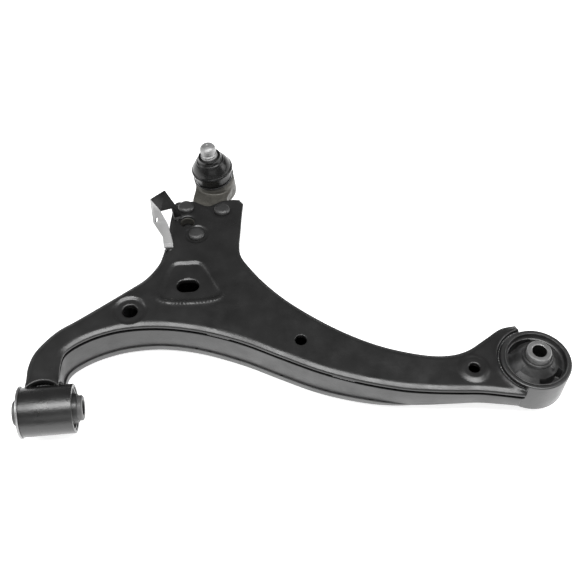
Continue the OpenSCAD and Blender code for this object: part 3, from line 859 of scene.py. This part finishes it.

# The channel's flange, which closes the groove under the rim. Its near-black coat is painted shadow, standing
# in for the shade under the rim's overhang.
mask = np.ones(len(low_outline))
mask[near_ring(low_outline, 2.0)] = 0
mask[(low_outline[:, 1] < TUBE_R - 1) & (low_outline[:, 0] < 30)] = 0
mask[(np.abs(low_outline[:, 0] - NECK_X - 3) < 33) & (low_outline[:, 1] > REACH - 60)] = 0
mask = softened(mask, 1)
outward = -normals_in(low_outline)
LIP = RIM - 2.4
lip = [(-0.6, LIP - 3.6), (2.0, LIP - 1.7), (2.6, LIP - 1.2), (2.6, LIP), (-0.6, LIP)]
section = rounded(lip, [0, 0.8, 0.3, 0.5, 0], 3)
verts, faces = [], []
for (x, y), (nx, ny), w in zip(low_outline, outward, mask):
    for d, z in section:
        dd = d * w if d > 0 else d
        verts.append((x + nx * dd, y + ny * dd, z))
m, n = len(section), len(low_outline)
for i in range(n):
    for k in range(m):
        a, b = i * m + k, i * m + (k + 1) % m
        c, d = ((i + 1) % n) * m + (k + 1) % m, ((i + 1) % n) * m + k
        faces.append((a, b, c, d))
place(solid("channel_flange", verts, faces, M["groove_painted_shadow"], 50), "arm", ["lower_shell"])

close_outline = resample(cad_loops("bottom_plate", lambda n, c: n.z < -0.6)[0], 1.8)
# The lip runs out under the channel towards the rear ring.
tuck = 2.7 * smooth((close_outline[:, :1] / SPAN - 0.66) / 0.13)
close_outline = close_outline + normals_in(close_outline) * tuck
close_edge = np.full(len(close_outline), 1.9)


def closing_height(x, y):
    return floor_x(x) - 1.5 + 1.2 * smooth((x / SPAN - 0.68) / 0.11)


def closing_wall(x, y):
    fade = 1 - float(smooth(np.array((x / SPAN - 0.62) / 0.18)))
    if y > REACH - 133 or x > 0.8 * SPAN - 3:
        return floor_at(x) - 0.6
    lap = 2.6 * (1 - float(smooth(np.array((x / SPAN - 0.73) / 0.06))))
    return floor_at(x) + 0.2 + max(6 * fade, lap)


# The closing sheet's lighter coat is a painted reflection of the floor on its lip
sheet("closing_sheet", close_outline, close_edge, closing_height, closing_wall,
      [(circle(LEG_HOLE, 8), 0.5, 1.2), (circle(PLAIN_HOLE, 6), 0.5, 1.2)], [], -1, 1.4, M["under"],
      6.0, "bottom_plate")

# ---- seam stitches under the upper pressing's rim

stitches = [(0.05, 0.33), (0.14, 0.43), (0.5, 0.35), (0.62, 0.17), (0.35, 0.2), (0.6, 0.0)]
inner = top_outline + normals_in(top_outline) * 2.2
beads = []
for k, (fx, fy) in enumerate(stitches):
    c = np.array([fx * SPAN, fy * REACH])
    near = (np.abs(inner[:, 0] - c[0]) < 13) & (np.abs(inner[:, 1] - c[1]) < 20)
    idx = np.where(near)[0]
    if len(idx) < 3:
        continue
    runs = np.split(idx, np.where(np.diff(idx) > 3)[0] + 1)
    run = max(runs, key=len)
    path = [(inner[i][0], inner[i][1], RIM - 1.2) for i in run]
    beads.append(bead(f"stitch_{k}", path, 1.45, M["weld"], seed=k + 3))
group(beads, "seam_stitches", "weld", "seam_weld")

# ---- front bush

TUBE_END = tube_hi[0]
SLEEVE_R = TUBE_R - 3
FRONT_R = SLEEVE_R - 1.5
profile = [(SLEEVE_R, -TUBE_END), (TUBE_R, -TUBE_END), (TUBE_R, TUBE_END), (SLEEVE_R, TUBE_END)]
profile = rounded(profile, [0.4, 0.7, 0.7, 0.4])
place(lathe("front_tube_body", profile, M["tube"], 160, ALONG_X), "arm", ["front_tube"])
profile = [(FRONT_R, -TUBE_END - 2), (TUBE_R + 1.6, -TUBE_END - 2), (TUBE_R + 1.6, -TUBE_END - 1.1),
           (TUBE_R + 0.4, -TUBE_END - 0.05), (SLEEVE_R - 0.02, -TUBE_END - 0.05),
           (SLEEVE_R - 0.02, TUBE_END - 1), (FRONT_R, TUBE_END - 1)]
profile = rounded(profile, [1.0, 0.8, 0.3, 0.2, 0.1, 0.5, 0.5])
place(lathe("front_sleeve", profile, M["sleeve"], 160, ALONG_X), "arm", ["front_bush_sleeve"])
INNER_R = CORE_R + 0.05
profile = [(INNER_R + r, -TUBE_END - z) for r, z in ((0, 3.5), (1.6, 3.5), (2.2, 0.5), (3.4, -1.6))]
profile += [(FRONT_R - r, -TUBE_END - z) for r, z in ((2.2, -1.6), (1.0, -0.2), (0.05, 0))]
profile += [(FRONT_R - r, TUBE_END - z) for r, z in ((0.05, 3), (1.3, 4.6))]
profile += [(INNER_R + r, TUBE_END + z) for r, z in ((3.4, -4), (2.2, -0.5), (1.6, 3.5), (0, 3.5))]
obj = lathe("front_rubber", rounded(profile, 0.9), M["bush"], 128, ALONG_X)
place(obj, "arm", ["front_bush_rubber"])


def core_profile(half):
    upper = [(CORE_R, half - 0.9), (CORE_R - 0.9, half), (BORE_R + 0.8, half), (BORE_R, half - 0.5)]
    lower = [(r, -z) for r, z in reversed(upper)]
    return rounded(lower + upper, 0.25, 3)


# Gives the bore's faces the near-black steel as painted shade inside the hole
def paint_bore_shade(obj, centre, axis):
    obj.data.materials.append(M["bore"])
    for p in obj.data.polygons:
        d = np.array(p.center) * 1000 - centre
        d[axis] = 0
        if np.linalg.norm(d) < BORE_R + 0.1:
            p.material_index = 1


obj = lathe("front_core", core_profile(box_mm("front_bush_core")[1][0]), M["zinc_x"], 128, ALONG_X)
paint_bore_shade(obj, np.zeros(3), 0)
place(obj, "front_core", ["front_bush_core"])

# Fillets where the leg meets the tube
beads = []
for k, x in enumerate((-19.6, 11.6)):
    path = []
    for i in range(30):
        a = math.radians(128 - 104 * i / 29)
        path.append((x, (TUBE_R + 0.7) * math.sin(a), (TUBE_R + 0.7) * -math.cos(a)))
    beads.append(bead(f"leg_fillet_{k}", path, 2.2, M["weld"], pitch=3.0, seed=k + 11))
y = math.sqrt(TUBE_R**2 - 81) - 0.2
beads.append(bead("leg_fillet_top", [(-14, y, 9), (6, y, 9)], 2.0, M["weld"], pitch=3.0, seed=14))
group(beads, "tube_fillets", "weld", "front_tube_weld")

# ---- rear bush

RING_END = ring_hi[2] - LIFT
RING_BORE = RING_R - 4
REAR_R = RING_BORE - 1.5
profile = [(RING_BORE, -RING_END), (RING_R, -RING_END), (RING_R, RING_END), (RING_BORE, RING_END)]
profile = rounded(profile, [0.3, 1.6, 1.8, 0.3], 5)
place(lathe("rear_ring_body", profile, M["ring"], 200, AT_RING), "arm", ["rear_ring"])
SLEEVE_END = box_mm("rear_bush_sleeve")[1][2] - LIFT
wall = [(REAR_R, RING_BORE - 0.02), (RING_BORE - 0.02, REAR_R)]
profile = [(r, z) for pair, z in zip(wall, (-SLEEVE_END, SLEEVE_END)) for r in pair]
profile = rounded(profile, 0.5, 4)
place(lathe("rear_sleeve", profile, M["rim"], 180, AT_RING), "arm", ["rear_bush_sleeve"])
obj = lathe("rear_core", core_profile(rear_core_hi[2] - LIFT), M["zinc"], 128, AT_RING)
paint_bore_shade(obj, np.array([SPAN, 0, LIFT]), 2)
place(obj, "rear_core", ["rear_bush_core"])


def degrees_from(a, b):
    """The turn from b to a, within half a turn either way."""
    return ((a - b + 180) % 360) - 180


def rear_rubber():
    """The bonded rubber: a dome with a collar round the core and two curved voids.
    """
    side = [(INNER_R + r, RING_END + z) for r, z in ((0, 7), (2.4, 7), (3.4, 3.6), (6.5, 0.9))]
    side += [(REAR_R - r, RING_END - z) for r, z in ((8.0, 2.2), (3.0, 5.8), (0.9, 5.0), (0.03, 3.2))]
    side = rounded(side, 2.4, 6, closed=False)
    radii, heights = [p[0] for p in side], [p[1] for p in side]
    extra_r = list(np.arange(REAR_R - 9.5, REAR_R - 1.0, 0.4))
    rs = sorted(set([round(r, 3) for r in radii + extra_r + list(np.arange(INNER_R + 1, REAR_R, 0.9))]))
    n = 240
    cols = []
    for i in range(n):
        a = 2 * math.pi * i / n
        off = min(abs(degrees_from(math.degrees(a), m)) for m in (118, 298))
        cols.append((a, off))
    verts, faces = [], []
    for top in (1, -1):
        for r in rs:
            z = float(np.interp(r, radii, heights))
            for a, off in cols:
                reach = 2.3 + 0.25 * max(0, 1 - off / 33)
                across = smooth(np.array((reach - abs(r - (REAR_R - 4.75)) + 0.35) / 0.7))
                mask = float(across * smooth(np.array((33 - off) / 2.4 + 0.5)))
                zz = z - mask * (z - 1.5)
                deg = math.degrees(a) % 360
                # A nib and two moulded lines on the dome
                if top > 0:
                    nib = math.hypot(r - (INNER_R + 6.2), r * math.radians(degrees_from(deg, 312)))
                    zz += 1.1 * math.exp(-((nib / 1.3) ** 2))
                    for m in (28, 208):
                        arc = abs(degrees_from(deg, m))
                        if INNER_R + 5 < r < REAR_R - 3:
                            zz += 0.45 * math.exp(-((arc / 2.0) ** 2))
                verts.append((r, a, top * zz))
    m = len(rs)
    for top in range(2):
        base = top * m * n
        for k in range(m - 1):
            for i in range(n):
                j = (i + 1) % n
                q = (base + k * n + i, base + k * n + j, base + (k + 1) * n + j, base + (k + 1) * n + i)
                faces.append(q if top else tuple(reversed(q)))
    for k in (0, m - 1):
        for i in range(n):
            j = (i + 1) % n
            q = (k * n + i, k * n + j, (m + k) * n + j, (m + k) * n + i)
            faces.append(q if k == 0 else tuple(reversed(q)))
    # The mesh is first made with the radius along X and the turn along Y, then its points are set round the
    # ring.
    me = bpy.data.meshes.new("rear_rubber")
    me.from_pydata([(r * 0.001, a * 0.01, z * 0.001) for r, a, z in verts], [], faces)
    me.update()
    obj = linked("rear_rubber", me)
    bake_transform(obj)
    for v, (r, a, z) in zip(me.vertices, verts):
        v.co = ((RING[0] + r * math.cos(a)) * 0.001, (RING[1] + r * math.sin(a)) * 0.001, (z + LIFT) * 0.001)
    me.update()
    fix_normals(obj)
    finish_mesh(obj, M["bush"], 55)
    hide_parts("rear_bush_rubber")


rear_rubber()

def ring_arc(r, z, degrees):
    turns = np.radians(degrees)
    return [(RING[0] + r * math.cos(a), RING[1] + r * math.sin(a), z) for a in turns]


# Beads between the jaws and the ring
jaw = top_outline[near_ring(top_outline, 3.4)]
angles = np.degrees(np.arctan2(jaw[:, 1] - RING[1], jaw[:, 0] - RING[0])) % 360
a0, a1 = angles.min() + 3, angles.max() - 3
path = ring_arc(RING_R + 1.3, SHEET + 0.5, np.linspace(a0, a1, 70))
beads = [bead("cup_bead", path, 1.35, M["weld"], pitch=2.8, seed=31)]
path = ring_arc(RING_R + 1.2, floor_at(SPAN - RING_R - 4) - 0.8, np.linspace(126, 224, 60))
beads.append(bead("cup_bead_low", path, 1.6, M["weld"], pitch=2.8, seed=33))
group(beads, "ring_fillets", "weld", "rear_ring_weld")

# ---- ball joint


def forging():
    """The housing from its CAD solid, with the edges softened as a forging's are."""
    obj = linked("ball_housing_forging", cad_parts["ball_joint_housing"].data.copy())
    remesh = obj.modifiers.new("remesh", "REMESH")
    remesh.mode = "VOXEL"
    remesh.voxel_size = 0.0008
    relax = obj.modifiers.new("relax", "SMOOTH")
    relax.factor = 0.5
    relax.iterations = 6
    apply_modifiers(obj)
    finish_mesh(obj, M["forging"], 70)
    place(obj, "arm", ["ball_joint_housing"])


forging()

HOUSING_R = 23.0
BOOT_TOP = 43.0
SEAT_R = HOUSING_R - 3.5 + 0.02
BOOT_R = HOUSING_R + 0.4
outer = [(SEAT_R + r, z) for r, z in ((2, 9.7), (2, 17), (2.4, 20.3))]
outer += [(BOOT_R - r, z) for r, z in (
    (0.8, 22.2), (0, 22.9), (0, 24.0), (0.7, 24.9), (1.6, 25.8), (2.1, 27.2), (3.4, 30), (5.4, 33.4),
    (7.8, 36.6), (9.8, 38.8), (10.4, 40), (10.5, 41.6), (10.9, BOOT_TOP - 0.3), (11.6, BOOT_TOP))]
# The boot's mouth clears the stud and the collar clip round it.
grip = 9.5 + 0.05 + 1.2 + 0.3
inner_side = [(grip, BOOT_TOP), (grip, 37)]
inner_side += [(BOOT_R - r, z) for r, z in ((11, 36.4), (8.6, 33), (6.2, 30), (4.8, 27), (4, 23.6))]
inner_side += [(SEAT_R, 20), (SEAT_R, 9.7)]


def spline(points, n):
    p = [np.array(q, float) for q in points]
    out = []
    for i in range(len(p) - 1):
        out += between(p[max(i - 1, 0)], p[i], p[i + 1], p[min(i + 2, len(p) - 1)], n)
    out.append(p[-1])
    return out


def ribbed(p):
    """Shallow ribs round the boot's upper cone."""
    r, z = p
    if 34 < z < 41:
        r += 0.16 * math.sin((z - 34) / 7 * math.pi * 6) * math.sin((z - 34) / 7 * math.pi)
    return (r, z)


# The boot is made in two parts, which meet at this height above the ball's centre.
SPLIT = 24.0
out_curve = [ribbed(p) for p in spline(outer[1:], 7)]
out_curve = [outer[0]] + out_curve
in_curve = spline(inner_side[1:-1], 4)
in_curve = [inner_side[0]] + in_curve + [inner_side[-1]]


def cut_at(curve, z):
    """The curve's two parts below and above height z, with the point at z in both."""
    low, high = [], []
    for a, b in zip(curve, list(curve[1:]) + [None]):
        (low if a[1] <= z else high).append(tuple(a))
        if b is not None and (a[1] - z) * (b[1] - z) < 0:
            t = (z - a[1]) / (b[1] - a[1])
            q = (a[0] + (b[0] - a[0]) * t, z)
            low.append(q)
            high.append(q)
    return low, high


def boot_half(name, profile):
    obj = lathe(name, profile, M["boot"], 144, AT_BALL, closed=False, angle=60)
    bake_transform(obj)
    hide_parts("boot")


out_low, out_high = cut_at(out_curve, SPLIT)
in_high = [p for p in in_curve if p[1] >= SPLIT]
in_low = [p for p in in_curve if p[1] < SPLIT]
at_split = (float(np.interp(SPLIT, [23.6, 27], [BOOT_R - 4, BOOT_R - 4.8])), SPLIT)
boot_half("boot_lower", [at_split] + in_low + out_low)
boot_half("boot_upper", out_high + in_high + [at_split])

# The lower clip: two turns of round wire
CLIP_R = 22.55
turns = []
for k in range(2 * 120 + 1):
    a = 2 * math.pi * k / 120 * 0.98
    z = 10.45 + 1.05 * k / 240
    turns.append(tuple(AT_BALL @ Vector((CLIP_R * math.cos(a + 0.7), CLIP_R * math.sin(a + 0.7), z))))
# The clip's near-black colour is partly painted shade under the boot's skirt
obj = bead("boot_clip_low", turns, 0.55, M["clip"], ripple=0.0, taper=0.4)
place(obj, "arm", ["boot_bottom_ring"])
profile = [(9.55, BOOT_TOP - 6), (10.75, BOOT_TOP - 6), (10.75, BOOT_TOP - 1), (9.55, BOOT_TOP - 1)]
profile = rounded(profile, 0.3)
# The collar's near-black colour is painted shade in the gap round the stud's base
place(lathe("boot_collar", profile, M["clip"], 96, AT_BALL), "stud_collar", ["boot_top_ring"])

GROOVE = 48.0
STUD_END = 58.0
stud = [(0, 9.5), (7, 9.5), (7, 20), (9.5, 27), (9.5, BOOT_TOP + 0.6), (9, BOOT_TOP + 1.1)]
stud += [(r, GROOVE + z) for r, z in ((9, -1.6), (7.8, -0.8), (7.8, 0.8), (9, 1.6))]
stud += [(r, STUD_END - z) for r, z in ((9, 4.5), (8, 2.4), (5.8, 0.8), (3, 0.1), (2, 0), (0, 1.2))]
profile = rounded(stud, 0.6, 4, closed=False)
obj = lathe("ball_stud_pin", profile, M["stud"], 128, AT_BALL, closed=False, angle=50)
place(obj, "stud", ["ball_stud"])

# ---- rivets

HEAD_R = 8.9


def rivet(k, c):
    seat = TOP - (1.1 if k == 2 else 0.35)
    ph = random.Random(40 + k).random() * 6

    def wobble(r, z, a):
        uneven = 0.018 * math.sin(2 * a + ph) + 0.012 * math.sin(3 * a - ph)
        s = 1 + (uneven if z > seat - 0.5 and r > 5.2 else 0)
        return r * s, z + (0.12 * math.sin(a + ph) * r / 9 if z > seat + 1 else 0)

    profile = [(0, -1.0), (HEAD_R - 4, -1.0), (HEAD_R - 1, 1.0), (HEAD_R - 0.6, 3.0), (5, 3.0), (5, seat)]
    profile += [(HEAD_R - r, seat + z) for r, z in ((0, 0), (0.1, 2.2), (1.2, 3.6), (3.2, 4.3))]
    profile += [(0, seat + 4.6)]
    return lathe(f"rivet_{k}", rounded(profile, 0.9, 4, closed=False), M["rivet"], 72,
                 Matrix.Translation((c[0], c[1], 0)), closed=False, wobble=wobble)


heads = [rivet(k, c) for k, c in enumerate(RIVETS)]
group(heads, "rivet_set", "rivet", "rivets", 50)

# ---- bracket

STRAP_X, STRAP_Y = NECK_X - 60, REACH - 64
STRAP_T = 2.4
STRAP_TOP = box_mm("sensor_bracket")[1][2] - STRAP_T / 2
FOOT = TOP + STRAP_T / 2


def strap():
    """A bent strap with a slot. Its folds that face the camera take a light copy of its coat as a painted
    reflection; the others take a black copy as painted shade.
    """
    p = [(11, -39, FOOT), (21, -40, FOOT), (10.5, -34, FOOT), (21, -34, FOOT)]
    p += [(10.5, -29, FOOT + 6), (20, -30, FOOT + 6)]
    p += [(x, y, STRAP_TOP - z) for x, y, z in ((1.5, -18, 18), (17, -20, 19), (0, 0, 0), (10.5, -10, 9.5),
                                                (15.5, 12, 0))]
    drop = np.array((27, 9, STRAP_TOP - 24.0))
    narrow = 0.3 * np.array(p[9]) + 0.7 * drop
    p += [tuple(narrow), tuple(drop), (23, 3, FOOT + 1.5), (31, 5, FOOT + 1.5)]
    p += [(24, 0, FOOT), (31.4, 1.5, FOOT)]
    verts = [(STRAP_X + x, STRAP_Y + y, z) for x, y, z in p]
    # The first faces take the light coat as a painted reflection; the rest take the black coat as painted
    # shade
    light = [(0, 1, 3, 2), (2, 3, 5, 4), (4, 5, 7, 6), (6, 7, 9, 8)]
    dark = [(8, 9, 10), (9, 11, 12, 10), (11, 13, 14, 12), (13, 15, 16, 14)]
    obj = to_object("sensor_strap", verts, light + dark)
    obj.data.materials.append(M["strap"])
    obj.data.materials.append(M["strap_painted_shade"])
    for i, q in enumerate(obj.data.polygons):
        q.material_index = int(i >= len(light))
    mod = obj.modifiers.new("t", "SOLIDIFY")
    mod.thickness, mod.offset, mod.use_even_offset = STRAP_T * 0.001, 0, True
    bpy.ops.mesh.primitive_cylinder_add(vertices=32, radius=0.0013, depth=0.02)
    cutter = bpy.context.object
    cutter.scale = (0.8, 2.0, 1)
    cutter.rotation_euler = (math.radians(58), 0, math.radians(-22))
    # The slot's walls take the black copy as well: painted shade inside the slot
    cutter.data.materials.append(M["strap_painted_shade"])
    cutter.data.materials.append(M["strap_painted_shade"])
    for q in cutter.data.polygons:
        q.material_index = 1
    cutter.location = (Vector((STRAP_X + 5.5, STRAP_Y - 16.5, STRAP_TOP - 15.5))) * 0.001
    mod = obj.modifiers.new("slot", "BOOLEAN")
    mod.operation, mod.object, mod.solver = "DIFFERENCE", cutter, "EXACT"
    mod = obj.modifiers.new("edges", "BEVEL")
    mod.width, mod.segments, mod.limit_method, mod.angle_limit = 0.0004, 2, "ANGLE", math.radians(40)
    apply_modifiers(obj)
    bpy.data.objects.remove(cutter)
    for q in obj.data.polygons:
        q.use_smooth = True
    obj.data.set_sharp_from_angle(angle=math.radians(35))
    return obj


place(strap(), "arm", ["sensor_bracket"])
spots = []
for k, (x, y) in enumerate(((13, -42.3), (18, -42.8), (27, 0.9))):
    px, py = STRAP_X + x, STRAP_Y + y
    path = [(px - 1.6, py, TOP + 0.1), (px + 1.6, py + 0.3, TOP + 0.1)]
    spots.append(bead(f"spot_{k}", path, 1.8, M["weld"], pitch=1.6, taper=1.2, seed=50 + k))
group(spots, "strap_spots", "weld", "bracket_welds")

# ---- CAD nodes that stay

for node, key in (("ball", "ball"), ("ball_seat", "seat"), ("housing_cap", "cap")):
    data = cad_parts[node].data
    if not data.materials:
        data.materials.append(M[key])
    for i in range(len(data.materials)):
        data.materials[i] = M[key]

# ---- floor, light and camera

ground = min(box_mm(n)[0][2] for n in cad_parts) - 0.3
floor_mat = Nodes("floor_white")
shade = floor_mat.ramp(floor_mat.noise(3, 2), [(0.3, 0.86), (0.7, 0.9)])
floor_mat.link(shade, floor_mat.bsdf.inputs["Base Color"])
floor_mat.link(shade, floor_mat.bsdf.inputs["Emission Color"])
ahead = floor_mat.new("ShaderNodeSeparateXYZ")
floor_mat.link(floor_mat.coord, ahead.inputs[0])
# The floor glows, as a white sweep does, but for the part in front of the camera.
glow = floor_mat.span(ahead.outputs["Y"], -1.1, -0.75, 0.2, 0.86)
floor_mat.link(glow, floor_mat.bsdf.inputs["Emission Strength"])
floor_mat.set(Roughness=0.85)
bpy.ops.mesh.primitive_plane_add(size=40, location=(0.25, 0.15, ground * 0.001))
floor = bpy.context.object
floor.name = "studio_floor"
floor.data.materials.append(floor_mat.mat)


def softbox(name, place_at, aim, size, power):
    light = bpy.data.lights.new(name, "AREA")
    light.shape = "RECTANGLE"
    light.size, light.size_y = size
    light.energy = power
    obj = linked(name, light)
    obj.location = place_at
    obj.rotation_euler = (Vector(aim) - Vector(place_at)).to_track_quat("-Z", "Y").to_euler()


softbox("overhead", (0.25, -0.32, 2.1), (0.25, 0.05, 0), (2.4, 0.95), 60)
softbox("front", (0.1, -2.4, 1.2), (0.25, 0.1, 0), (2.2, 0.8), 6)
softbox("left", (-2.1, 0.3, 1.3), (0.2, 0.1, 0), (1.2, 1.0), 13)
softbox("right", (2.5, 0.0, 1.0), (0.2, 0.1, 0), (1.2, 1.2), 15)
world = bpy.data.worlds.new("studio")
scene.world = world
world.use_nodes = True
sky = world.node_tree.nodes["Background"].inputs
sky["Color"].default_value = (1, 1, 1, 1)
sky["Strength"].default_value = 0.19

# The camera fitted to the photograph: where it stands, and its heading, tilt and roll
CAMERA_AT = (0.1707, -0.4649, 0.7434)
heading, tilt, roll = math.radians(-7.56), math.radians(51.33), math.radians(1.69)
fwd = Vector((-math.sin(heading) * math.cos(tilt), math.cos(heading) * math.cos(tilt), -math.sin(tilt)))
right = Vector((math.cos(heading), math.sin(heading), 0))
up = right.cross(fwd)
r2 = right * math.cos(roll) + up * math.sin(roll)
u2 = up * math.cos(roll) - right * math.sin(roll)
cam = bpy.data.cameras.new("photo_view")
cam.sensor_width = 36
cam.lens = 54.7
cam.clip_start = 0.01
cam.clip_end = 50
camera = linked("photo_view", cam)
rows = [(r2[i], u2[i], -fwd[i], CAMERA_AT[i]) for i in range(3)]
camera.matrix_world = Matrix((*rows, (0, 0, 0, 1)))
scene.camera = camera
scene.view_settings.view_transform = "Standard"
scene.view_settings.look = "None"
scene.view_settings.exposure = 0.0
